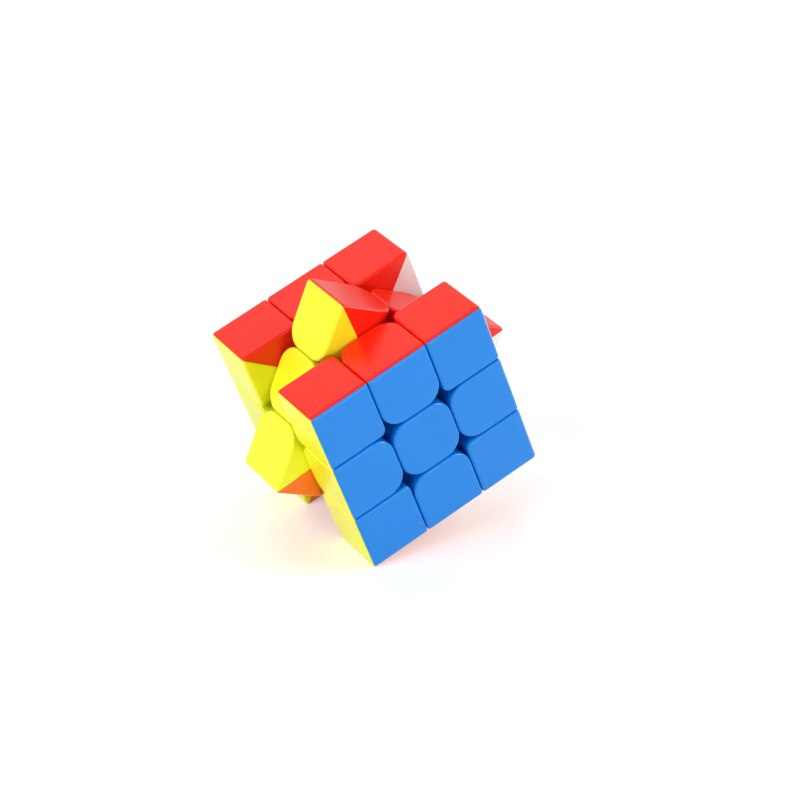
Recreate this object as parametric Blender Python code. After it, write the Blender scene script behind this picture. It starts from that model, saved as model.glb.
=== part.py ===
"""A twisty puzzle cube of three layers, its middle slice part turned, made of its working pieces.

The origin is the centre of the core. +Y runs from the blue side to the green side, and +Z is up.
The mechanism is a ball about that centre. Outside the ball the layers meet at CUT from the centre.
In the shell just under it they meet nearer, at the posts of the centre pieces. So a corner's foot
runs under its neighbour edges, and an edge's foot under its neighbour centres. Every sliding face
is a plane square to a turning axis or a sphere about the origin, so each layer turns freely.
"""

import itertools
import math

import bmesh
import bpy
from mathutils import Matrix, Vector

MM = 0.001

# The whole cube
CUBE = 56.0 * MM  # from face to face
MIDDLE = 18.9 * MM  # width of the layers between two outer ones
SLICE_TURN = math.radians(42.6)  # of the middle slice against the two outer layers
CLEARANCE = 0.3 * MM  # between two pieces that meet
OUTER_ROUND = 1.3 * MM  # edges where two coloured faces of one piece meet
BORDER_ROUND = 0.8 * MM  # borders of the coloured faces along the seams
EDGE_ROUND = 5.8 * MM  # inner corners of a centre's and an edge's faces
CORNER_ROUND = 2.2 * MM  # inner corner of a corner's faces
WALL = 1.6 * MM  # of the hollow edges and corners

# Feet that hold the edges and corners in
FOOT = 4.5 * MM  # thickness, towards the centre
STALK = 1.8 * MM  # radius of the stalk that joins a corner to its foot
STALK_LIP = 0.6 * MM  # by which the stalk's head is wider than the hole that it passes
STALK_HEAD = 1.5 * MM  # thickness of that head
VENT = 1.5 * MM  # radius of the hole through an edge's foot

# Spring, screw and washer under each centre cap
WIRE = 0.6 * MM  # diameter
SPRING_RADIUS = 2.9 * MM  # outside
SPRING_LENGTH = 5.9 * MM
SPRING_TURNS = 4.5
BORE_PLAY = 0.5 * MM  # between the bore of a stem and the spring or the screw's head in it
POST_WALL = 1.95 * MM  # from the bore to a flat side of the post
STEM_FLOOR = 1.5 * MM
CAP = 3.0 * MM
CAP_PLUG = 2.7 * MM  # depth to which the cap's plug enters the bore
SHANK = 1.25 * MM  # radius
SCREW_HEAD = 2.8 * MM  # radius
SCREW_HEAD_HEIGHT = 1.8 * MM
RECESS_LENGTH = 3.6 * MM
RECESS_WIDTH = 0.8 * MM
RECESS_DEPTH = 0.9 * MM
WASHER_THICKNESS = 0.6 * MM
SCREW_TIP = 4.5 * MM  # from the centre of the core

# Core
ARM = 4.2 * MM  # radius
HUB_RIB = 1.0 * MM  # by which the hub is larger than an arm
HUB_BEVEL = 1.2 * MM

# Fineness of round shapes
BALL_SEGMENTS = 28
ROD_SIDES = 12
ROUND_STEPS = 4
OUTER_STEPS = 2
BORDER_STEPS = 1
POINTS_A_TURN = 8
OVERLAP = 0.2 * MM  # of two shapes that are joined into one piece

# Sizes that follow
HALF = CUBE / 2
CUT = MIDDLE / 2
FACE = CUT - CLEARANCE / 2  # half the width of a coloured face
LAYER = CUT + CLEARANCE / 2  # where the outer layers begin
BORE = max(SPRING_RADIUS, SCREW_HEAD) + BORE_PLAY
WASHER = BORE - CLEARANCE
PLUG = BORE - CLEARANCE
POST = BORE + POST_WALL  # half the width of a centre's post
FOOT_SIDE = POST + CLEARANCE  # where a foot beside the post begins
HOLE = SHANK + CLEARANCE
MOUTH = STALK + CLEARANCE
CORNER_FLOOR = LAYER + (MOUTH + WALL) * math.sqrt(2 / 3)
SOCKET = math.sqrt(3) * CORNER_FLOOR  # the ball hollowed out under the blocks, with a wall round each mouth
BALL_OUT = SOCKET * math.cos(math.pi / BALL_SEGMENTS) ** 2  # where the flats of that hollow lie
BALL_IN = BALL_OUT - CLEARANCE  # the ball that the feet end at
FOOT_BASE = BALL_IN - FOOT

# Heights along each centre's axis, from the cap down to the core
STEM_TOP = HALF - CAP - CLEARANCE
HEAD_TOP = HALF - CAP - CAP_PLUG - CLEARANCE
HEAD_BASE = HEAD_TOP - SCREW_HEAD_HEIGHT
WASHER_TOP = HEAD_BASE - CLEARANCE
WASHER_BASE = WASHER_TOP - WASHER_THICKNESS
SPRING_TOP = WASHER_BASE - CLEARANCE
SPRING_BASE = SPRING_TOP - SPRING_LENGTH
FLOOR_TOP = SPRING_BASE - CLEARANCE
STEM_BASE = FLOOR_TOP - STEM_FLOOR
ARM_END = STEM_BASE - CLEARANCE

X, Y, Z = Vector((1, 0, 0)), Vector((0, 1, 0)), Vector((0, 0, 1))
SIDES = {"red": Z, "orange": -Z, "blue": -Y, "green": Y, "white": X, "yellow": -X}

# Colour, roughness and metallic value of each material
FINISHES = {
    "red": ((0.90, 0.02, 0.015), 0.35, 0),
    "orange": ((0.95, 0.17, 0.006), 0.35, 0),
    "blue": ((0.012, 0.24, 0.78), 0.35, 0),
    "green": ((0.02, 0.42, 0.08), 0.35, 0),
    "white": ((0.88, 0.88, 0.87), 0.35, 0),
    "yellow": ((0.90, 0.88, 0.02), 0.35, 0),
    "dark_plastic": ((0.02, 0.02, 0.022), 0.5, 0),
    "steel": ((0.62, 0.63, 0.65), 0.3, 1),
    "spring_steel": ((0.45, 0.46, 0.48), 0.35, 1),
}
SMOOTH_ANGLE = math.radians(30)  # faces that meet at less than this look round
SAME_WAY = math.cos(math.radians(1))  # two directions closer than this count as one
NEAR = 0.001 * MM


def box(low, high):
    """A box between two opposite corners."""
    form = bmesh.new()
    bmesh.ops.create_cube(form, size=1)
    bmesh.ops.scale(form, vec=Vector(high) - Vector(low), verts=form.verts)
    bmesh.ops.translate(form, vec=(Vector(high) + Vector(low)) / 2, verts=form.verts)
    return form


def lies_at(edge, axis, *places):
    """Whether an edge lies in one of the planes square to an axis at these places."""
    return any(all(abs(v.co @ axis - place) < NEAR for v in edge.verts) for place in places)


def round_off(form, chosen, radius, steps):
    """Rounds the edges that the test picks."""
    edges = [edge for edge in form.edges if chosen(edge)]
    bmesh.ops.bevel(form, geom=edges, offset=radius, segments=steps, profile=0.5, affect="EDGES")


def is_outer(vert):
    """Whether a point lies on a coloured face or on the round between two of them."""
    reach = sorted(vert.co)
    return reach[2] > HALF - NEAR or reach[1] > HALF - OUTER_ROUND - NEAR


def round_borders(form):
    """Rounds the outer edges of a block, and then the border of its coloured faces."""
    round_off(form, lambda edge: sum(lies_at(edge, axis, HALF) for axis in (X, Y, Z)) == 2,
              OUTER_ROUND, OUTER_STEPS)
    skin = {face for face in form.faces if all(is_outer(vert) for vert in face.verts)}
    round_off(form, lambda edge: len(skin.intersection(edge.link_faces)) == 1, BORDER_ROUND, BORDER_STEPS)


def mesh_of(form):
    """The finished mesh of a form under work."""
    mesh = bpy.data.meshes.new("shape")
    form.to_mesh(mesh)
    form.free()
    return mesh


def ball(radius):
    """A ball about the origin."""
    form = bmesh.new()
    bmesh.ops.create_uvsphere(
        form, u_segments=BALL_SEGMENTS, v_segments=BALL_SEGMENTS // 2, radius=radius
    )
    return mesh_of(form)


def rod(radius, start, end, along=Z):
    """A round rod on a line through the origin, between two distances from it."""
    form = bmesh.new()
    bmesh.ops.create_cone(
        form,
        cap_ends=True,
        segments=ROD_SIDES,
        radius1=radius,
        radius2=radius,
        depth=end - start,
    )
    bmesh.ops.translate(form, vec=Z * (start + end) / 2, verts=form.verts)
    bmesh.ops.rotate(form, matrix=Z.rotation_difference(along).to_matrix(), verts=form.verts)
    return mesh_of(form)


def boolean(first, second, operation):
    """One mesh from two, which are used up."""
    helpers = [bpy.data.objects.new("helper", mesh) for mesh in (first, second)]
    for helper in helpers:
        bpy.context.scene.collection.objects.link(helper)
    step = helpers[0].modifiers.new("step", "BOOLEAN")
    step.operation = operation
    step.object = helpers[1]
    graph = bpy.context.evaluated_depsgraph_get()
    result = bpy.data.meshes.new_from_object(helpers[0].evaluated_get(graph))
    for helper in helpers:
        bpy.data.objects.remove(helper)
    for mesh in (first, second):
        bpy.data.meshes.remove(mesh)
    return result


def cut(body, tool):
    """A body less a tool."""
    return boolean(body, tool, "DIFFERENCE")


def join(body, other):
    """Two bodies made one."""
    return boolean(body, other, "UNION")


def keep(body, limit):
    """What of a body lies inside a limit."""
    return boolean(body, limit, "INTERSECT")


def above(form, along, height):
    """What is left of a form past a plane square to a direction, at a height along it."""
    along = along.normalized()
    loop = bmesh.ops.bisect_plane(
        form,
        geom=[*form.verts, *form.edges, *form.faces],
        plane_co=along * height,
        plane_no=along,
        clear_inner=True,
    )["geom_cut"]
    bmesh.ops.contextual_create(form, geom=[part for part in loop if isinstance(part, bmesh.types.BMEdge)])
    bmesh.ops.recalc_face_normals(form, faces=form.faces)
    return mesh_of(form)


def edge_form(inset):
    """An edge's block between its +Y and +Z faces, drawn in by an inset, with its inner corners rounded."""
    side, inner, outer = FACE - inset, LAYER + inset, HALF - inset
    form = box((-side, inner, inner), (side, outer, outer))

    def inner_corner(edge):
        return lies_at(edge, X, -side, side) and (lies_at(edge, Y, inner) or lies_at(edge, Z, inner))

    round_off(form, inner_corner, EDGE_ROUND - inset, ROUND_STEPS)
    return form


def edge_mesh():
    """A hollow edge with its foot, which a neck joins to the block."""
    block = edge_form(0)
    round_borders(block)
    piece = cut(mesh_of(block), ball(SOCKET))
    side, inner = POST - OVERLAP, LAYER + OVERLAP
    neck = above(box((-side, inner, inner), (side, HALF, HALF)), Y + Z, FOOT_BASE + OVERLAP)
    foot = above(box((-POST, FOOT_SIDE, FOOT_SIDE), (POST, HALF, HALF)), Y + Z, FOOT_BASE)
    piece = join(piece, keep(neck, ball(SOCKET + OVERLAP)))
    piece = join(piece, keep(foot, ball(BALL_IN)))
    piece = cut(piece, above(edge_form(WALL), Y + Z, SOCKET + WALL))
    piece = cut(piece, rod(VENT, FOOT_BASE - FOOT, HALF, Y + Z))
    return split_faces(piece, [(X, Y - Z), (Y + Z, Y - Z)])


def corner_form(inset):
    """A corner's block between its +X, +Y and +Z faces, drawn in by an inset."""
    return box((LAYER + inset,) * 3, (HALF - inset,) * 3)


def corner_mesh():
    """A hollow corner with a mouth for the stalk of its foot."""
    block = corner_form(0)
    round_off(block, lambda edge: sum(lies_at(edge, axis, LAYER) for axis in (X, Y, Z)) == 2,
              CORNER_ROUND, ROUND_STEPS)
    round_borders(block)
    piece = cut(mesh_of(block), ball(SOCKET))
    piece = cut(piece, above(corner_form(WALL), X + Y + Z, SOCKET + WALL))
    piece = cut(piece, rod(MOUTH, FOOT_BASE, SOCKET + WALL + STALK_HEAD, X + Y + Z))
    return split_faces(piece, [(X, Y - Z), (Y, Z - X), (Z, X - Y)])


def corner_foot_mesh():
    """The foot of a corner, with a stalk whose head sits inside the hollow corner."""
    along = X + Y + Z
    head = SOCKET + WALL + CLEARANCE
    foot = above(box((FOOT_SIDE,) * 3, (HALF,) * 3), along, FOOT_BASE)
    piece = keep(foot, ball(BALL_IN))
    piece = join(piece, rod(STALK, FOOT_BASE + OVERLAP, head + OVERLAP, along))
    return join(piece, rod(MOUTH + STALK_LIP, head, head + STALK_HEAD, along))


def centre_plate(base, top):
    """A square plate with rounded corners, as wide as a centre's face."""
    form = box((-FACE, -FACE, base), (FACE, FACE, top))
    round_off(form, lambda edge: lies_at(edge, X, -FACE, FACE) and lies_at(edge, Y, -FACE, FACE),
              EDGE_ROUND, ROUND_STEPS)
    return form


def cap_mesh():
    """A centre's coloured cap, with a plug that closes the bore over the screw."""
    plate = centre_plate(HALF - CAP, HALF)
    round_borders(plate)
    return join(mesh_of(plate), rod(PLUG, HALF - CAP - CAP_PLUG, HALF - CAP + OVERLAP))


def stem_mesh():
    """A centre's flange and square post, bored for the spring and drilled for the screw."""
    flange = cut(mesh_of(centre_plate(CUT, STEM_TOP)), ball(SOCKET))
    post = mesh_of(box((-POST, -POST, STEM_BASE), (POST, POST, STEM_TOP - OVERLAP)))
    piece = cut(join(flange, post), rod(BORE, FLOOR_TOP, HALF))
    return cut(piece, rod(HOLE, STEM_BASE - STEM_FLOOR, FLOOR_TOP + STEM_FLOOR))


def screw_mesh():
    """A screw that runs from under the cap into an arm of the core."""
    piece = join(rod(SCREW_HEAD, HEAD_BASE, HEAD_TOP), rod(SHANK, SCREW_TIP, HEAD_BASE + OVERLAP))
    long, wide, base = RECESS_LENGTH / 2, RECESS_WIDTH / 2, HEAD_TOP - RECESS_DEPTH
    cross = join(
        mesh_of(box((-long, -wide, base), (long, wide, HALF))),
        mesh_of(box((-wide, -long, base), (wide, long, HALF))),
    )
    return cut(piece, cross)


def washer_mesh():
    """The washer between a screw's head and its spring."""
    return cut(rod(WASHER, WASHER_BASE, WASHER_TOP), rod(HOLE, SPRING_BASE, HEAD_TOP))


def core_mesh():
    """The six-armed core, with a blind hole in each arm for its screw."""
    side = ARM + HUB_RIB
    hub = box((-side, -side, -side), (side, side, side))
    round_off(hub, lambda edge: True, HUB_BEVEL, 1)
    piece = mesh_of(hub)
    for along in (X, Y, Z):
        piece = join(piece, rod(ARM, -ARM_END, ARM_END, along))
    for along in SIDES.values():
        piece = cut(piece, rod(HOLE, SCREW_TIP - CLEARANCE, ARM_END + STEM_FLOOR, along))
    return piece


def spring_points():
    """Points along the middle of the spring's wire."""
    radius = SPRING_RADIUS - WIRE / 2
    steps = round(SPRING_TURNS * POINTS_A_TURN)
    rise = (SPRING_LENGTH - WIRE) / steps
    angles = [math.tau * SPRING_TURNS * i / steps for i in range(steps + 1)]
    return [
        Vector((radius * math.cos(a), radius * math.sin(a), SPRING_BASE + WIRE / 2 + rise * i))
        for i, a in enumerate(angles)
    ]


def least_gap(points):
    """The least gap between two stretches of the wire that lie half a turn or more apart."""
    apart = POINTS_A_TURN // 2
    pairs = itertools.combinations(range(len(points)), 2)
    return min((points[a] - points[b]).length for a, b in pairs if b - a >= apart) - WIRE


def spring_curve():
    """The spring as one unbroken wire."""
    points = spring_points()
    print(f"least gap between the turns of a spring: {least_gap(points) / MM:.2f} mm")
    curve = bpy.data.curves.new("spring", "CURVE")
    curve.dimensions = "3D"
    curve.bevel_depth = WIRE / 2
    curve.bevel_resolution = 1
    curve.use_fill_caps = True
    wire = curve.splines.new("POLY")
    wire.points.add(len(points) - 1)
    for place, point in zip(wire.points, points):
        place.co = (*point, 1)
    return curve


def split_faces(mesh, planes):
    """Splits the flat sides that face along each axis where two colours meet on them."""
    form = bmesh.new()
    form.from_mesh(mesh)
    for axis, normal in planes:
        form.normal_update()
        along = axis.normalized()
        faces = [face for face in form.faces if abs(face.normal @ along) > SAME_WAY]
        edges = {edge for face in faces for edge in face.edges}
        verts = {vert for face in faces for vert in face.verts}
        bmesh.ops.bisect_plane(
            form, geom=[*faces, *edges, *verts], dist=NEAR, plane_co=(0, 0, 0), plane_no=normal
        )
    bpy.data.meshes.remove(mesh)
    return mesh_of(form)


def paint(mesh, axes):
    """Gives each face of a shared mesh the slot of the axis that it lies nearest to."""
    for axis in axes:
        mesh.materials.append(None)
    for face in mesh.polygons:
        reach = [face.center @ axis for axis in axes]
        face.material_index = reach.index(max(reach))


def finish_mesh(mesh, axes):
    """Smooth shading on the round faces only, and a slot for each colour."""
    mesh.shade_smooth()
    mesh.set_sharp_from_angle(angle=SMOOTH_ANGLE)
    paint(mesh, axes)
    return mesh


def material(name, colour, roughness, metallic):
    """One plain material."""
    made = bpy.data.materials.new(name)
    made.use_nodes = True
    shader = made.node_tree.nodes["Principled BSDF"]
    shader.inputs["Base Color"].default_value = (*colour, 1)
    shader.inputs["Roughness"].default_value = roughness
    shader.inputs["Metallic"].default_value = metallic
    return made


def frame(name, angle):
    """An empty at the core that holds what turns together about Y."""
    made = bpy.data.objects.new(name, None)
    made.rotation_euler = (0, angle, 0)
    made.empty_display_size = HALF
    bpy.context.scene.collection.children["puzzle_cube"].objects.link(made)
    return made


def place(name, shape, holder, turn, materials):
    """One piece, turned into its place about the core and carried by its holder."""
    piece = bpy.data.objects.new(name, shape)
    bpy.context.scene.collection.children["puzzle_cube"].objects.link(piece)
    piece.parent = holder
    piece.rotation_euler = turn.to_euler()
    for slot, chosen in zip(piece.material_slots, materials):
        slot.link = "OBJECT"
        slot.material = chosen


def turn_of(*axes):
    """The rotation that takes X, Y and Z to these directions."""
    return Matrix(axes).transposed()


def holder_of(colours, holders):
    """The layer that a piece with these colours belongs to."""
    return next((holders[colour] for colour in colours if colour in holders), holders["slice"])


def add_centres(holders, finishes):
    """The cap, stem, spring, washer and screw on each of the six arms."""
    cap = finish_mesh(cap_mesh(), [Z])
    stem = finish_mesh(stem_mesh(), [Z])
    screw = finish_mesh(screw_mesh(), [Z])
    washer = finish_mesh(washer_mesh(), [Z])
    spring = spring_curve()
    spring.materials.append(None)
    for colour, side in SIDES.items():
        across = Y if abs(side @ Y) < NEAR else Z
        turn = turn_of(across, side.cross(across), side)
        holder = holder_of([colour], holders)
        place(f"cap_{colour}", cap, holder, turn, [finishes[colour]])
        place(f"stem_{colour}", stem, holder, turn, [finishes[colour]])
        place(f"spring_{colour}", spring, holders["slice"], turn, [finishes["spring_steel"]])
        place(f"washer_{colour}", washer, holders["slice"], turn, [finishes["steel"]])
        place(f"screw_{colour}", screw, holders["slice"], turn, [finishes["steel"]])


def add_edges(holders, finishes):
    """The twelve edges, each between two sides that meet."""
    edge = finish_mesh(edge_mesh(), [Y, Z])
    for first, second in itertools.combinations(SIDES, 2):
        one, two = SIDES[first], SIDES[second]
        if abs(one @ two) > NEAR:
            continue
        holder = holder_of([first, second], holders)
        colours = [finishes[first], finishes[second]]
        place(f"edge_{first}_{second}", edge, holder, turn_of(one.cross(two), one, two), colours)


def add_corners(holders, finishes):
    """The eight corners and their feet, each between three sides that meet."""
    corner = finish_mesh(corner_mesh(), [X, Y, Z])
    foot = finish_mesh(corner_foot_mesh(), [Z])
    for names in itertools.product(("red", "orange"), ("blue", "green"), ("white", "yellow")):
        one, two, three = (SIDES[name] for name in names)
        label = "_".join(names)
        ordered = names if one.cross(two) @ three > 0 else (names[0], names[2], names[1])
        turn = turn_of(*(SIDES[name] for name in ordered))
        holder = holder_of(names, holders)
        place(f"corner_{label}", corner, holder, turn, [finishes[name] for name in ordered])
        place(f"corner_foot_{label}", foot, holder, turn, [finishes["dark_plastic"]])


def main():
    for old in list(bpy.data.objects):
        bpy.data.objects.remove(old)
    bpy.context.scene.collection.children.link(bpy.data.collections.new("puzzle_cube"))
    holders = {
        "slice": frame("slice_frame", SLICE_TURN / 2),
        "blue": frame("blue_layer_frame", -SLICE_TURN / 2),
        "green": frame("green_layer_frame", -SLICE_TURN / 2),
    }
    finishes = {name: material(name, *finish) for name, finish in FINISHES.items()}
    core = finish_mesh(core_mesh(), [Z])
    place("core", core, holders["slice"], Matrix.Identity(3), [finishes["dark_plastic"]])
    add_centres(holders, finishes)
    add_edges(holders, finishes)
    add_corners(holders, finishes)


main()
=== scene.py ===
"""The looks of a twisty puzzle cube of three layers, its middle slice part turned.

Every piece of the real cube is a mesh of its own here: two shells to an edge, three to a corner,
and the cap, stem, spring, washer and screw of each centre round the core. Each one stands for a
node of the part and rides on that node's body. The origin is the centre of the core, +Y runs from
the blue side to the green side, and +Z is up. Lengths are in metres.
"""

import itertools
import math

import bmesh
import bpy
from mathutils import Matrix, Vector

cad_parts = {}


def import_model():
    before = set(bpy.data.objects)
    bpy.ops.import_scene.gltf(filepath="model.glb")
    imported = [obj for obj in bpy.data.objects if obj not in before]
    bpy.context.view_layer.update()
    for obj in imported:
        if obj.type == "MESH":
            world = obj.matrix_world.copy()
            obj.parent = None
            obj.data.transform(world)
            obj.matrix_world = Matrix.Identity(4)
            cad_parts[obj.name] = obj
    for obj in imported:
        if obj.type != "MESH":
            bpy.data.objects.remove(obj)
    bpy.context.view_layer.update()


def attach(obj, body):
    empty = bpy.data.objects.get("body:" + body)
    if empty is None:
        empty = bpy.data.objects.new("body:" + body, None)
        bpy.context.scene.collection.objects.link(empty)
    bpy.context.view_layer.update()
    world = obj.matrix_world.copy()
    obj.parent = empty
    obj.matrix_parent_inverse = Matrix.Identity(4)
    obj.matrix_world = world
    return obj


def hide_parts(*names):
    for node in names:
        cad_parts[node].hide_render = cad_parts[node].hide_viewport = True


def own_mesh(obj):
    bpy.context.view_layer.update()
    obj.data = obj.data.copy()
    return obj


MM = 0.001

# Sizes of the part
CUBE = 56.0 * MM  # from face to face
LEAN = math.radians(21.3)  # of the slice one way and the outer layers the other, about Y
MIDDLE = 18.9 * MM  # width of the layers between two outer ones
GAP = 0.2 * MM  # between two pieces that meet in a seam
CLEARANCE = 0.3 * MM  # between pieces inside
OUTER_ROUND = 1.3 * MM  # edges where two coloured faces of one piece meet
BORDER_ROUND = 0.8 * MM  # borders of the coloured faces along a seam
EDGE_ROUND = 5.8 * MM  # inner corners of a centre's and an edge's faces
CORNER_ROUND = 2.2 * MM  # inner corner of a corner's faces
WALL = 1.6 * MM  # of the hollow edges and corners
FOOT = 4.5 * MM  # thickness of a foot, towards the centre
STALK = 1.8 * MM  # radius of the stalk that joins a corner to its foot
STALK_LIP = 0.6 * MM  # by which the stalk's head is wider than the hole that it passes
STALK_HEAD = 1.5 * MM
VENT = 1.5 * MM  # radius of the hole through an edge's foot
POST = 5.35 * MM  # half the width of a centre's post
BORE = 3.4 * MM  # radius of the bore in that post
STEM_TOP = 24.7 * MM
STEM_FLOOR = 12.8 * MM  # height of the floor of the bore
STEM_BASE = 11.3 * MM
CAP = 3.0 * MM
CAP_PLUG = 2.7 * MM
SHANK = 1.25 * MM  # radius of a screw
SCREW_HEAD = 2.8 * MM
HEAD_TOP = 22.0 * MM
HEAD_BASE = 20.2 * MM
SCREW_TIP = 4.5 * MM
WASHER_TOP = 19.9 * MM
WASHER_BASE = 19.3 * MM
SPRING_TOP = 19.0 * MM
SPRING_BASE = 13.1 * MM
SPRING_RADIUS = 2.9 * MM
SPRING_TURNS = 4.5
WIRE = 0.6 * MM
ARM = 4.2 * MM  # radius of an arm of the core
ARM_END = 11.0 * MM
HUB = 5.2 * MM  # half the width of the core's middle

# Finer shapes that only show from near
SEAM = 0.06 * MM  # between two coloured shells of one piece
HUB_ROUND = 1.2 * MM
SCREW_ROUND = 0.35 * MM  # on the rim of a screw's head
WASHER_ROUND = 0.15 * MM
RECESS_LENGTH = 3.6 * MM
RECESS_WIDTH = 0.8 * MM
RECESS_DEPTH = 0.9 * MM
THREAD_PITCH = 0.9 * MM
THREAD_DEPTH = 0.3 * MM
THREAD_END = 0.2 * MM  # length over which the thread runs out into the plain shank
END_COIL = 0.6  # how far the end coils of a spring close up, from 0 to 1

# Fineness of round shapes
BALL_SEGMENTS = 96
ROD_SIDES = 40
ROUND_STEPS = 10
OUTER_STEPS = 6
FILLET_STEPS = 4
POINTS_A_TURN = 32
STEPS_A_PITCH = 4
WIRE_SIDES = 10
OVERLAP = 0.2 * MM  # of two shapes that are joined into one piece

# Camera, fitted to the seams and borders of the cube in the photo
CAMERA_TURN = math.radians(31.53)  # to the left of square on to the blue side
CAMERA_RISE = math.radians(29.28)
CAMERA_ROLL = math.radians(1.05)
CAMERA_DISTANCE = 711.6 * MM
CAMERA_RIGHT = 7.01 * MM  # by which it looks past the middle of the core
CAMERA_DOWN = 1.28 * MM
CAMERA_LENS = 116.0  # focal length in millimetres
CAMERA_SENSOR = 36.0  # width in millimetres

# Sizes that follow
HALF = CUBE / 2
CUT = MIDDLE / 2
FACE = CUT - GAP / 2  # half the width of a middle piece's face
LAYER = CUT + GAP / 2  # where the outer layers begin
HOLE = SHANK + CLEARANCE
MOUTH = STALK + CLEARANCE
SOCKET = math.sqrt(3) * LAYER + (MOUTH + WALL) * math.sqrt(2)  # the ball hollowed out under the blocks
BALL = SOCKET - 2 * CLEARANCE  # the ball that the feet end at
FOOT_SIDE = POST + CLEARANCE
FOOT_BASE = BALL - FOOT
WASHER = BORE - CLEARANCE
PLUG = BORE - CLEARANCE
RIDGE = (HALF - OUTER_ROUND) * math.sqrt(2)  # from the Y axis to the middle of an outer edge's rounding
STAND = RIDGE * math.cos(math.pi / 4 - LEAN) + OUTER_ROUND  # from the table to the centre of the core

X, Y, Z = Vector((1, 0, 0)), Vector((0, 1, 0)), Vector((0, 0, 1))
SIDES = {"red": Z, "orange": -Z, "blue": -Y, "green": Y, "white": X, "yellow": -X}
TURNS = {"middle_slice": LEAN, "blue_layer": -LEAN, "green_layer": -LEAN}  # about Y

SMOOTH_ANGLE = math.radians(30)  # faces that meet at less than this look round
NEAR = 0.001 * MM  # points closer than this count as one

# Finishes
PLASTICS = {
    "red": (0.90, 0.017, 0.004),
    "orange": (0.95, 0.17, 0.006),
    "blue": (0.002, 0.24, 0.78),
    "green": (0.02, 0.42, 0.08),
    "white": (0.88, 0.88, 0.87),
    "yellow": (0.90, 0.91, 0.02),
}
DARK_PLASTIC = (0.02, 0.02, 0.022)
STEEL = (0.62, 0.63, 0.65)
SPRING_STEEL = (0.45, 0.46, 0.48)
PLASTIC_IOR = 1.45
PLASTIC_ROUGHNESS = 0.28
DARK_ROUGHNESS = 0.5
STEEL_ROUGHNESS = 0.3
NOISE_LOW = 0.3  # nearly all of a noise pattern lies between these two values
NOISE_HIGH = 0.7
COARSE_DETAIL = 3
FINE_DETAIL = 2
CLOUD_SIZE = 14 * MM
CLOUD_SHARE = 0.025  # by which the colour of plastic varies
STAIN_SHARE = 0.08  # by which the colour of metal varies
GRAIN_SIZE = 0.25 * MM
GRAIN_ROUGHNESS = 0.008
GRAIN_HEIGHT = 0.0002 * MM
SCRATCH_SIZE = 1.0 * MM
SCRATCH_STRETCH = (0.04, 1.6, 1.2)
SCRATCH_START = 0.66  # only the peaks of the pattern are scratches
SCRATCH_END = 0.74
SCRATCH_ROUGHNESS = 0.08
SCRATCH_DEPTH = 0.002 * MM
RIM_COSINE = 0.9  # of the angle by which a border bends where its polish is full
RIM_POLISH = 0.12  # taken off the roughness there
LINE_STRETCH = (0.05, 1, 1)
LINE_ROUGHNESS = 0.08
LINE_HEIGHT = 0.003 * MM

# Stage
ROOM_LIGHT = 0.04  # of the white room as a light
CEILING = 0.2  # brightness of the room straight overhead, where its walls are 1
CEILING_START = 0.72  # sine of the angle at which the ceiling begins
CEILING_END = 0.92
FLOOR_SIZE = 2.0
FLOOR_COLOUR = (0.8, 0.8, 0.8)
FLOOR_ROUGHNESS = 0.35
FLOOR_GLOW = 0.35  # added to the table as it is seen
# Each lamp's place, size and power, and whether it shows in the gloss
LAMPS = {
    "rim_lamp": ((0.20, -0.98, 0.05), 0.16, 0.8, True),
    "front_lamp": ((-0.12, -0.98, 0.12), 0.3, 1.8, False),
    "right_lamp": ((0.74, -0.40, 0.54), 0.5, 5.8, True),
    "left_lamp": ((-0.84, -0.13, 0.52), 0.7, 8.2, False),
    "top_lamp": ((0.0, 0.45, 0.89), 0.7, 4.0, False),
}


def box(low, high):
    """A box between two opposite corners."""
    form = bmesh.new()
    bmesh.ops.create_cube(form, size=1)
    bmesh.ops.scale(form, vec=Vector(high) - Vector(low), verts=form.verts)
    bmesh.ops.translate(form, vec=(Vector(high) + Vector(low)) / 2, verts=form.verts)
    return form


def lies_at(edge, axis, *levels):
    """Whether an edge lies in one of the planes square to an axis at these levels."""
    return any(all(abs(vert.co @ axis - level) < NEAR for vert in edge.verts) for level in levels)


def round_off(form, chosen, radius, steps):
    """Rounds the edges that the test picks."""
    edges = [edge for edge in form.edges if chosen(edge)]
    bmesh.ops.bevel(form, geom=edges, offset=radius, segments=steps, profile=0.5, affect="EDGES")


def is_outer(vert):
    """Whether a point lies on a coloured face or on the round between two of them."""
    reach = sorted(vert.co)
    return reach[2] > HALF - NEAR or reach[1] > HALF - OUTER_ROUND - NEAR


def round_borders(form):
    """Rounds the outer edges of a block, and then the border of its coloured faces."""
    round_off(form, lambda edge: sum(lies_at(edge, axis, HALF) for axis in (X, Y, Z)) == 2,
              OUTER_ROUND, OUTER_STEPS)
    skin = {face for face in form.faces if all(is_outer(vert) for vert in face.verts)}
    round_off(form, lambda edge: len(skin.intersection(edge.link_faces)) == 1, BORDER_ROUND, FILLET_STEPS)


def mesh_of(form):
    """The finished mesh of a form under work."""
    mesh = bpy.data.meshes.new("shape")
    form.to_mesh(mesh)
    form.free()
    return mesh


def ball(radius):
    """A ball about the origin."""
    form = bmesh.new()
    bmesh.ops.create_uvsphere(
        form, u_segments=BALL_SEGMENTS, v_segments=BALL_SEGMENTS // 2, radius=radius
    )
    return mesh_of(form)


def rod_form(radius, start, end):
    """A round rod along +Z, between two heights."""
    form = bmesh.new()
    bmesh.ops.create_cone(
        form, cap_ends=True, segments=ROD_SIDES, radius1=radius, radius2=radius, depth=end - start
    )
    bmesh.ops.translate(form, vec=Z * (start + end) / 2, verts=form.verts)
    return form


def rod(radius, start, end, along=Z):
    """A round rod on a line through the origin, between two distances from it."""
    form = rod_form(radius, start, end)
    bmesh.ops.rotate(form, matrix=Z.rotation_difference(along).to_matrix(), verts=form.verts)
    return mesh_of(form)


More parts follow.
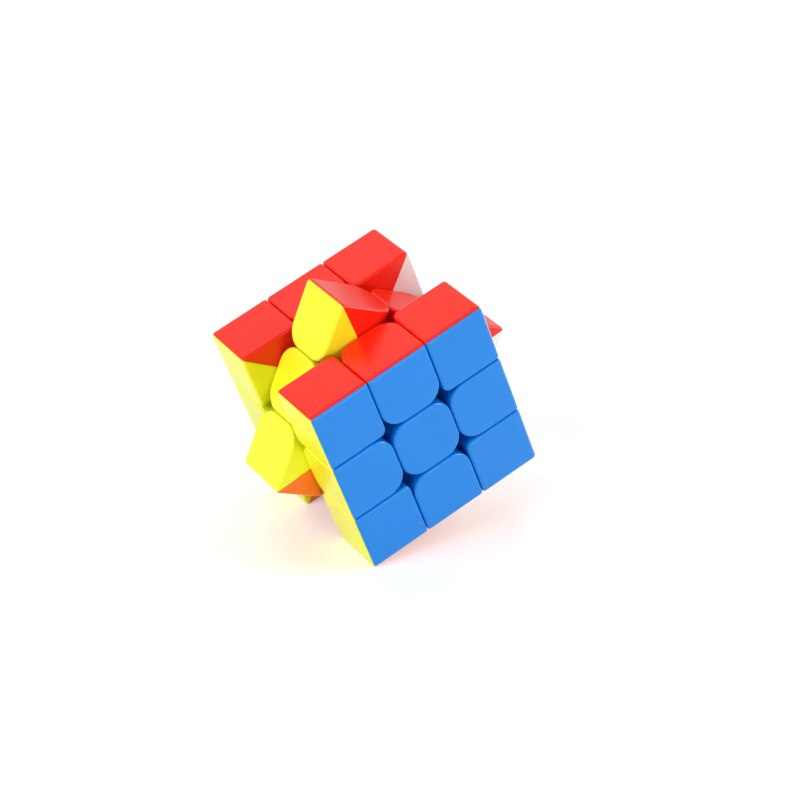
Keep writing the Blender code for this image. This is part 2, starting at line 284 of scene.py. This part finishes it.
def past(along, distance):
    """All the room past a plane square to a direction, at a distance from the origin."""
    form = box((-CUBE, -CUBE, distance), (CUBE, CUBE, distance + CUBE))
    bmesh.ops.rotate(form, matrix=Z.rotation_difference(along).to_matrix(), verts=form.verts)
    return mesh_of(form)


def boolean(first, second, operation):
    """One mesh from two, which are used up."""
    helpers = [bpy.data.objects.new("helper", mesh) for mesh in (first, second)]
    for helper in helpers:
        bpy.context.scene.collection.objects.link(helper)
    step = helpers[0].modifiers.new("step", "BOOLEAN")
    step.operation = operation
    step.object = helpers[1]
    graph = bpy.context.evaluated_depsgraph_get()
    result = bpy.data.meshes.new_from_object(helpers[0].evaluated_get(graph))
    for helper in helpers:
        bpy.data.objects.remove(helper)
    for mesh in (first, second):
        bpy.data.meshes.remove(mesh)
    return result


def cut(body, tool):
    """A body less a tool."""
    return boolean(body, tool, "DIFFERENCE")


def join(body, other):
    """Two bodies made one."""
    return boolean(body, other, "UNION")


def keep(body, limit):
    """What of a body lies inside a limit."""
    return boolean(body, limit, "INTERSECT")


def edge_form(inset):
    """An edge's block between its +Y and +Z faces, drawn in by an inset, with its inner corners rounded."""
    side, inner, outer = FACE - inset, LAYER + inset, HALF - inset
    form = box((-side, inner, inner), (side, outer, outer))

    def inner_corner(edge):
        return lies_at(edge, X, -side, side) and (lies_at(edge, Y, inner) or lies_at(edge, Z, inner))

    round_off(form, inner_corner, EDGE_ROUND - inset, ROUND_STEPS)
    return form


def edge_shell():
    """The half of a hollow edge that has its +Z face, with its half of the foot."""
    block = edge_form(0)
    round_borders(block)
    piece = cut(mesh_of(block), ball(SOCKET))
    side, inner = POST - OVERLAP, LAYER + OVERLAP
    neck = keep(mesh_of(box((-side, inner, inner), (side, HALF, HALF))), ball(SOCKET + OVERLAP))
    foot = keep(mesh_of(box((-POST, FOOT_SIDE, FOOT_SIDE), (POST, HALF, HALF))), ball(BALL))
    piece = join(piece, keep(neck, past(Y + Z, FOOT_BASE + OVERLAP)))
    piece = join(piece, keep(foot, past(Y + Z, FOOT_BASE)))
    piece = cut(piece, keep(mesh_of(edge_form(WALL)), past(Y + Z, SOCKET + WALL)))
    piece = cut(piece, rod(VENT, FOOT_BASE - FOOT, HALF, Y + Z))
    return keep(piece, past(Z - Y, SEAM / 2))


def corner_form(inset):
    """A corner's block between its +X, +Y and +Z faces, drawn in by an inset."""
    return box((LAYER + inset,) * 3, (HALF - inset,) * 3)


def corner_shell():
    """The third of a hollow corner that has its +Z face."""
    block = corner_form(0)
    round_off(block, lambda edge: sum(lies_at(edge, axis, LAYER) for axis in (X, Y, Z)) == 2,
              CORNER_ROUND, ROUND_STEPS)
    round_borders(block)
    piece = cut(mesh_of(block), ball(SOCKET))
    piece = cut(piece, keep(mesh_of(corner_form(WALL)), past(X + Y + Z, SOCKET + WALL)))
    piece = cut(piece, rod(MOUTH, FOOT_BASE, SOCKET + WALL + STALK_HEAD, X + Y + Z))
    return keep(keep(piece, past(Z - X, SEAM / 2)), past(Z - Y, SEAM / 2))


def corner_foot():
    """The foot of a corner, with a stalk whose head sits inside the hollow corner."""
    along = X + Y + Z
    head = SOCKET + WALL + CLEARANCE
    foot = keep(mesh_of(box((FOOT_SIDE,) * 3, (HALF,) * 3)), past(along, FOOT_BASE))
    piece = keep(foot, ball(BALL))
    piece = join(piece, rod(STALK, FOOT_BASE + OVERLAP, head + OVERLAP, along))
    return join(piece, rod(MOUTH + STALK_LIP, head, head + STALK_HEAD, along))


def centre_plate(base, top):
    """A square plate with rounded corners, as wide as a centre's face."""
    form = box((-FACE, -FACE, base), (FACE, FACE, top))
    round_off(form, lambda edge: lies_at(edge, X, -FACE, FACE) and lies_at(edge, Y, -FACE, FACE),
              EDGE_ROUND, ROUND_STEPS)
    return form


def cap():
    """A centre's coloured cap, with a plug that closes the bore over the screw."""
    plate = centre_plate(HALF - CAP, HALF)
    round_borders(plate)
    return join(mesh_of(plate), rod(PLUG, HALF - CAP - CAP_PLUG, HALF - CAP + OVERLAP))


def stem():
    """A centre's flange and square post, bored for the spring and drilled for the screw."""
    flange = cut(mesh_of(centre_plate(CUT, STEM_TOP)), ball(SOCKET))
    post = mesh_of(box((-POST, -POST, STEM_BASE), (POST, POST, STEM_TOP - OVERLAP)))
    piece = cut(join(flange, post), rod(BORE, STEM_FLOOR, HALF))
    return cut(piece, rod(HOLE, STEM_BASE - CLEARANCE, STEM_FLOOR + CLEARANCE))


def close_tube(form, rings):
    """Faces that make a closed tube of rings of points."""
    for one, two in itertools.pairwise(rings):
        for side in range(len(one)):
            after = (side + 1) % len(one)
            form.faces.new((one[side], one[after], two[after], two[side]))
    form.faces.new(reversed(rings[0]))
    form.faces.new(rings[-1])
    bmesh.ops.recalc_face_normals(form, faces=form.faces)


def shank(tip, top, end):
    """A rod along +Z, threaded from its tip to a height and plain from there to its end."""
    form = bmesh.new()
    steps = round((top - tip) / THREAD_PITCH * STEPS_A_PITCH)
    heights = [tip + (top - tip) * step / steps for step in range(steps + 1)]
    rings = []
    for height in (*heights, top + THREAD_END, end):
        depth = THREAD_DEPTH if height <= top else 0
        ring = []
        for side in range(ROD_SIDES):
            angle = math.tau * side / ROD_SIDES
            phase = (height / THREAD_PITCH - angle / math.tau) % 1
            radius = SHANK - depth * abs(2 * phase - 1)
            ring.append(form.verts.new((radius * math.cos(angle), radius * math.sin(angle), height)))
        rings.append(ring)
    close_tube(form, rings)
    return mesh_of(form)


def screw():
    """A cross-head screw that runs from under the cap into an arm of the core."""
    head = rod_form(SCREW_HEAD, HEAD_BASE, HEAD_TOP)
    round_off(head, lambda edge: lies_at(edge, Z, HEAD_TOP), SCREW_ROUND, FILLET_STEPS)
    long, wide, base = RECESS_LENGTH / 2, RECESS_WIDTH / 2, HEAD_TOP - RECESS_DEPTH
    cross = join(
        mesh_of(box((-long, -wide, base), (long, wide, HALF))),
        mesh_of(box((-wide, -long, base), (wide, long, HALF))),
    )
    piece = join(mesh_of(head), shank(SCREW_TIP, ARM_END, HEAD_BASE + OVERLAP))
    return cut(piece, cross)


def washer():
    """The washer between a screw's head and its spring."""
    form = rod_form(WASHER, WASHER_BASE, WASHER_TOP)
    round_off(form, lambda edge: lies_at(edge, Z, WASHER_BASE, WASHER_TOP), WASHER_ROUND, FILLET_STEPS)
    return cut(mesh_of(form), rod(HOLE, SPRING_BASE, HEAD_TOP))


def spring():
    """A coil spring along +Z, whose end coils close up."""
    form = bmesh.new()
    middle = SPRING_RADIUS - WIRE / 2
    steps = round(SPRING_TURNS * POINTS_A_TURN)
    rings = []
    for step in range(steps + 1):
        share = step / steps
        out = Matrix.Rotation(math.tau * SPRING_TURNS * share, 3, "Z") @ X
        rise = share - END_COIL * math.sin(math.tau * share) / math.tau
        point = out * middle + Z * (SPRING_BASE + WIRE / 2 + (SPRING_TOP - SPRING_BASE - WIRE) * rise)
        ring = []
        for side in range(WIRE_SIDES):
            angle = math.tau * side / WIRE_SIDES
            aside = out * math.cos(angle) + Z * math.sin(angle)
            ring.append(form.verts.new(point + aside * WIRE / 2))
        rings.append(ring)
    close_tube(form, rings)
    return mesh_of(form)


def core():
    """The six-armed core, with a blind hole in each arm for its screw."""
    hub = box((-HUB,) * 3, (HUB,) * 3)
    round_off(hub, lambda edge: True, HUB_ROUND, FILLET_STEPS)
    piece = mesh_of(hub)
    for along in (X, Y, Z):
        piece = join(piece, rod(ARM, -ARM_END, ARM_END, along))
    for along in SIDES.values():
        piece = cut(piece, rod(HOLE, SCREW_TIP - CLEARANCE, ARM_END + CLEARANCE, along))
    return piece


def add_node(tree, kind, sockets=None):
    """A new node of a material, with these socket values."""
    made = tree.nodes.new(kind)
    for name, value in (sockets or {}).items():
        made.inputs[name].default_value = value
    return made


def pattern(tree, size, detail, stretch=(1, 1, 1)):
    """A cloudy pattern of about this feature size, different on every piece."""
    places = add_node(tree, "ShaderNodeTexCoord")
    mapping = add_node(tree, "ShaderNodeMapping", {"Scale": stretch})
    piece = add_node(tree, "ShaderNodeObjectInfo")
    made = add_node(tree, "ShaderNodeTexNoise", {"Scale": 1 / size, "Detail": detail})
    made.noise_dimensions = "4D"
    tree.links.new(places.outputs["Object"], mapping.inputs["Vector"])
    tree.links.new(mapping.outputs["Vector"], made.inputs["Vector"])
    tree.links.new(piece.outputs["Random"], made.inputs["W"])
    return made.outputs["Fac"]


def spread(tree, source, start, end, low, high):
    """A value that runs from low to high as its source runs from start to end."""
    made = add_node(tree, "ShaderNodeMapRange",
                    {"From Min": start, "From Max": end, "To Min": low, "To Max": high})
    tree.links.new(source, made.inputs["Value"])
    return made.outputs["Result"]


def tones(tree, source, colour, share):
    """A colour that varies by a share to each side of the one given."""
    made = add_node(tree, "ShaderNodeValToRGB")
    stops = zip(made.color_ramp.elements, (NOISE_LOW, NOISE_HIGH), (1 - share, 1 + share))
    for stop, position, factor in stops:
        stop.position = position
        stop.color = (*(min(1, part * factor) for part in colour), 1)
    tree.links.new(source, made.inputs["Fac"])
    return made.outputs["Color"]


def edge_mask(tree, radius):
    """1 on the rounded borders of a piece and 0 on its flats."""
    rounded = add_node(tree, "ShaderNodeBevel", {"Radius": radius})
    plain = add_node(tree, "ShaderNodeNewGeometry")
    dot = add_node(tree, "ShaderNodeVectorMath")
    dot.operation = "DOT_PRODUCT"
    tree.links.new(rounded.outputs["Normal"], dot.inputs[0])
    tree.links.new(plain.outputs["Normal"], dot.inputs[1])
    return spread(tree, dot.outputs["Value"], 1, RIM_COSINE, 0, 1)


def added(tree, one, two):
    """The sum of two values."""
    made = add_node(tree, "ShaderNodeMath")
    made.operation = "ADD"
    tree.links.new(one, made.inputs[0])
    tree.links.new(two, made.inputs[1])
    return made.outputs["Value"]


def bumps(tree, source, height, below=None):
    """A surface raised by a pattern, on top of an earlier one if there is one."""
    made = add_node(tree, "ShaderNodeBump", {"Distance": height})
    tree.links.new(source, made.inputs["Height"])
    if below:
        tree.links.new(below, made.inputs["Normal"])
    return made.outputs["Normal"]


def blank(name):
    """A new material, its node tree and its shader."""
    made = bpy.data.materials.new(name)
    made.use_nodes = True
    tree = made.node_tree
    return made, tree, tree.nodes["Principled BSDF"]


def plastic(name, colour, roughness):
    """Satin moulded plastic: slight clouds, fine grain, faint scratches, and rims polished by handling."""
    made, tree, shader = blank(name)
    clouds = pattern(tree, CLOUD_SIZE, COARSE_DETAIL)
    grain = pattern(tree, GRAIN_SIZE, FINE_DETAIL)
    streaks = pattern(tree, SCRATCH_SIZE, FINE_DETAIL, SCRATCH_STRETCH)
    scratches = spread(tree, streaks, SCRATCH_START, SCRATCH_END, 0, 1)
    rims = edge_mask(tree, BORDER_ROUND)
    matt = spread(tree, grain, NOISE_LOW, NOISE_HIGH,
                  roughness - GRAIN_ROUGHNESS, roughness + GRAIN_ROUGHNESS)
    scuffed = spread(tree, scratches, 0, 1, 0, SCRATCH_ROUGHNESS)
    polished = spread(tree, rims, 0, 1, 0, -RIM_POLISH)
    tree.links.new(tones(tree, clouds, colour, CLOUD_SHARE), shader.inputs["Base Color"])
    tree.links.new(added(tree, added(tree, matt, scuffed), polished), shader.inputs["Roughness"])
    surface = bumps(tree, scratches, -SCRATCH_DEPTH, bumps(tree, grain, GRAIN_HEIGHT))
    tree.links.new(surface, shader.inputs["Normal"])
    shader.inputs["IOR"].default_value = PLASTIC_IOR
    return made


def metal(name, colour, roughness):
    """Drawn or turned steel: fine lines across it and a slight stain."""
    made, tree, shader = blank(name)
    clouds = pattern(tree, CLOUD_SIZE, COARSE_DETAIL)
    lines = pattern(tree, GRAIN_SIZE, FINE_DETAIL, LINE_STRETCH)
    matt = spread(tree, lines, NOISE_LOW, NOISE_HIGH,
                  roughness - LINE_ROUGHNESS, roughness + LINE_ROUGHNESS)
    tree.links.new(tones(tree, clouds, colour, STAIN_SHARE), shader.inputs["Base Color"])
    tree.links.new(matt, shader.inputs["Roughness"])
    tree.links.new(bumps(tree, lines, LINE_HEIGHT), shader.inputs["Normal"])
    shader.inputs["Metallic"].default_value = 1
    return made


def smoothed(mesh):
    """A mesh without doubled points, shaded smooth across rounds and fillets only."""
    form = bmesh.new()
    form.from_mesh(mesh)
    bmesh.ops.remove_doubles(form, verts=form.verts, dist=NEAR)
    form.to_mesh(mesh)
    form.free()
    mesh.shade_smooth()
    mesh.set_sharp_from_angle(angle=SMOOTH_ANGLE)
    return mesh


def turn_of(*axes):
    """The rotation that takes X, Y and Z to these directions."""
    return Matrix(axes).transposed()


def place(name, shape, body, group, turn, node, slot, finishes):
    """One piece, turned into its place, that stands for a node of the part and moves with its body."""
    mesh = shape.copy()
    mesh.materials.append(finishes[slot])
    piece = bpy.data.objects.new(name, mesh)
    bpy.context.scene.collection.objects.link(piece)
    piece.matrix_world = (Matrix.Rotation(TURNS[group], 3, "Y") @ turn).to_4x4()
    flats = piece.modifiers.new("flat faces stay flat", "WEIGHTED_NORMAL")
    flats.keep_sharp = True
    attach(piece, body)
    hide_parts(node)
    return piece


def layer_of(names):
    """The layer that a piece with these colours turns with."""
    return next((f"{name}_layer" for name in names if f"{name}_layer" in TURNS), "middle_slice")


def add_centres(finishes):
    """The cap, stem, spring, washer and screw on each of the six arms."""
    cap_shape, stem_shape = smoothed(cap()), smoothed(stem())
    spring_shape, washer_shape, screw_shape = smoothed(spring()), smoothed(washer()), smoothed(screw())
    for colour, side in SIDES.items():
        across = Y if abs(side @ Y) < NEAR else Z
        turn = turn_of(across, side.cross(across), side)
        layer = layer_of([colour])
        body = f"{colour}_centre"
        place(f"top_cap_{colour}", cap_shape, body, layer, turn, f"cap_{colour}", colour, finishes)
        place(f"flanged_stem_{colour}", stem_shape, body, layer, turn, f"stem_{colour}", colour, finishes)
        fixed = {
            "spring": ("coil_spring", spring_shape, "spring_steel"),
            "washer": ("round_washer", washer_shape, "steel"),
            "screw": ("cross_screw", screw_shape, "steel"),
        }
        for node, (name, shape, slot) in fixed.items():
            piece = place(f"{name}_{colour}", shape, "middle_slice", "middle_slice", turn,
                          f"{node}_{colour}", slot, finishes)
            if node == "spring":
                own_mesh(piece)


def add_edges(finishes):
    """The two shells of each of the twelve edges."""
    shape = smoothed(edge_shell())
    for pair in itertools.combinations(SIDES, 2):
        if abs(SIDES[pair[0]] @ SIDES[pair[1]]) > NEAR:
            continue
        node = f"edge_{pair[0]}_{pair[1]}"
        layer = layer_of(pair)
        for top, other in (pair, reversed(pair)):
            one, two = SIDES[other], SIDES[top]
            place(f"{node}_shell_{top}", shape, layer, layer, turn_of(one.cross(two), one, two),
                  node, top, finishes)


def add_corners(finishes):
    """The three shells of each of the eight corners, and its foot."""
    shape, foot_shape = smoothed(corner_shell()), smoothed(corner_foot())
    for names in itertools.product(("red", "orange"), ("blue", "green"), ("white", "yellow")):
        label = "_".join(names)
        layer = layer_of(names)
        one, two, three = (SIDES[name] for name in names)
        ordered = names if one.cross(two) @ three > 0 else (names[0], names[2], names[1])
        for step in range(len(ordered)):
            turned = ordered[step:] + ordered[:step]
            turn = turn_of(*(SIDES[name] for name in turned))
            place(f"corner_{label}_shell_{turned[-1]}", shape, layer, layer, turn,
                  f"corner_{label}", turned[-1], finishes)
        place(f"stalked_foot_{label}", foot_shape, layer, layer, turn_of(*(SIDES[n] for n in ordered)),
              f"corner_foot_{label}", "dark_plastic", finishes)


def add_camera():
    """The camera at the photo's angle."""
    data = bpy.data.cameras.new("camera")
    data.lens = CAMERA_LENS
    data.sensor_width = CAMERA_SENSOR
    camera = bpy.data.objects.new("camera", data)
    bpy.context.scene.collection.objects.link(camera)
    camera.matrix_world = (
        Matrix.Rotation(-CAMERA_TURN, 4, "Z")
        @ Matrix.Rotation(math.pi / 2 - CAMERA_RISE, 4, "X")
        @ Matrix.Rotation(CAMERA_ROLL, 4, "Z")
        @ Matrix.Translation((CAMERA_RIGHT, -CAMERA_DOWN, CAMERA_DISTANCE))
    )
    bpy.context.scene.camera = camera


def add_lamp(name, spot, size, power, mirrored):
    """A soft square lamp that faces the cube, and shows in its gloss or not."""
    data = bpy.data.lights.new(name, "AREA")
    data.size = size
    data.energy = power
    lamp = bpy.data.objects.new(name, data)
    bpy.context.scene.collection.objects.link(lamp)
    lamp.location = spot
    lamp.rotation_euler = Vector(spot).to_track_quat("Z", "Y").to_euler()
    lamp.visible_glossy = mirrored


def seen_rays(tree):
    """1 for what is seen, straight, in gloss or through glass, and 0 for light that falls on things."""
    rays = add_node(tree, "ShaderNodeLightPath").outputs
    bent = added(tree, rays["Is Glossy Ray"], rays["Is Transmission Ray"])
    return added(tree, rays["Is Camera Ray"], bent)


def add_room():
    """White all round to the eye, with a darker ceiling, and softer as a light."""
    world = bpy.data.worlds.new("room")
    world.use_nodes = True
    world.cycles.sampling_method = "NONE"
    bpy.context.scene.world = world
    tree = world.node_tree
    shown = tree.nodes["Background"]
    shown.inputs["Color"].default_value = (1, 1, 1, 1)
    places = add_node(tree, "ShaderNodeTexCoord")
    heights = add_node(tree, "ShaderNodeSeparateXYZ")
    tree.links.new(places.outputs["Generated"], heights.inputs["Vector"])
    tree.links.new(spread(tree, heights.outputs["Z"], CEILING_START, CEILING_END, 1, CEILING),
                   shown.inputs["Strength"])
    lit = add_node(tree, "ShaderNodeBackground", {"Color": (1, 1, 1, 1), "Strength": ROOM_LIGHT})
    chosen = add_node(tree, "ShaderNodeMixShader")
    tree.links.new(seen_rays(tree), chosen.inputs["Fac"])
    tree.links.new(lit.outputs["Background"], chosen.inputs[1])
    tree.links.new(shown.outputs["Background"], chosen.inputs[2])
    tree.links.new(chosen.outputs["Shader"], tree.nodes["World Output"].inputs["Surface"])


def add_floor(height):
    """A plain white table, on which the cube throws a faint shadow."""
    form = bmesh.new()
    bmesh.ops.create_grid(form, x_segments=1, y_segments=1, size=FLOOR_SIZE)
    floor = bpy.data.objects.new("floor", mesh_of(form))
    floor.location = Z * height
    bpy.context.scene.collection.objects.link(floor)
    made, tree, shader = blank("table")
    shader.inputs["Base Color"].default_value = (*FLOOR_COLOUR, 1)
    shader.inputs["Roughness"].default_value = FLOOR_ROUGHNESS
    shader.inputs["Emission Color"].default_value = (1, 1, 1, 1)
    glow = spread(tree, seen_rays(tree), 0, 1, 0, FLOOR_GLOW)
    tree.links.new(glow, shader.inputs["Emission Strength"])
    made.cycles.emission_sampling = "NONE"
    floor.data.materials.append(made)


def main():
    """The finishes, every piece of the cube, and the stage round it."""
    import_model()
    finishes = {name: plastic(name, colour, PLASTIC_ROUGHNESS) for name, colour in PLASTICS.items()}
    finishes["dark_plastic"] = plastic("dark_plastic", DARK_PLASTIC, DARK_ROUGHNESS)
    finishes["steel"] = metal("steel", STEEL, STEEL_ROUGHNESS)
    finishes["spring_steel"] = metal("spring_steel", SPRING_STEEL, STEEL_ROUGHNESS)
    place("six_armed_core", smoothed(core()), "middle_slice", "middle_slice", Matrix.Identity(3),
          "core", "dark_plastic", finishes)
    add_centres(finishes)
    add_edges(finishes)
    add_corners(finishes)
    add_camera()
    add_room()
    add_floor(-STAND)
    for name, lamp in LAMPS.items():
        add_lamp(name, *lamp)
    bpy.context.scene.view_settings.view_transform = "Standard"


main()
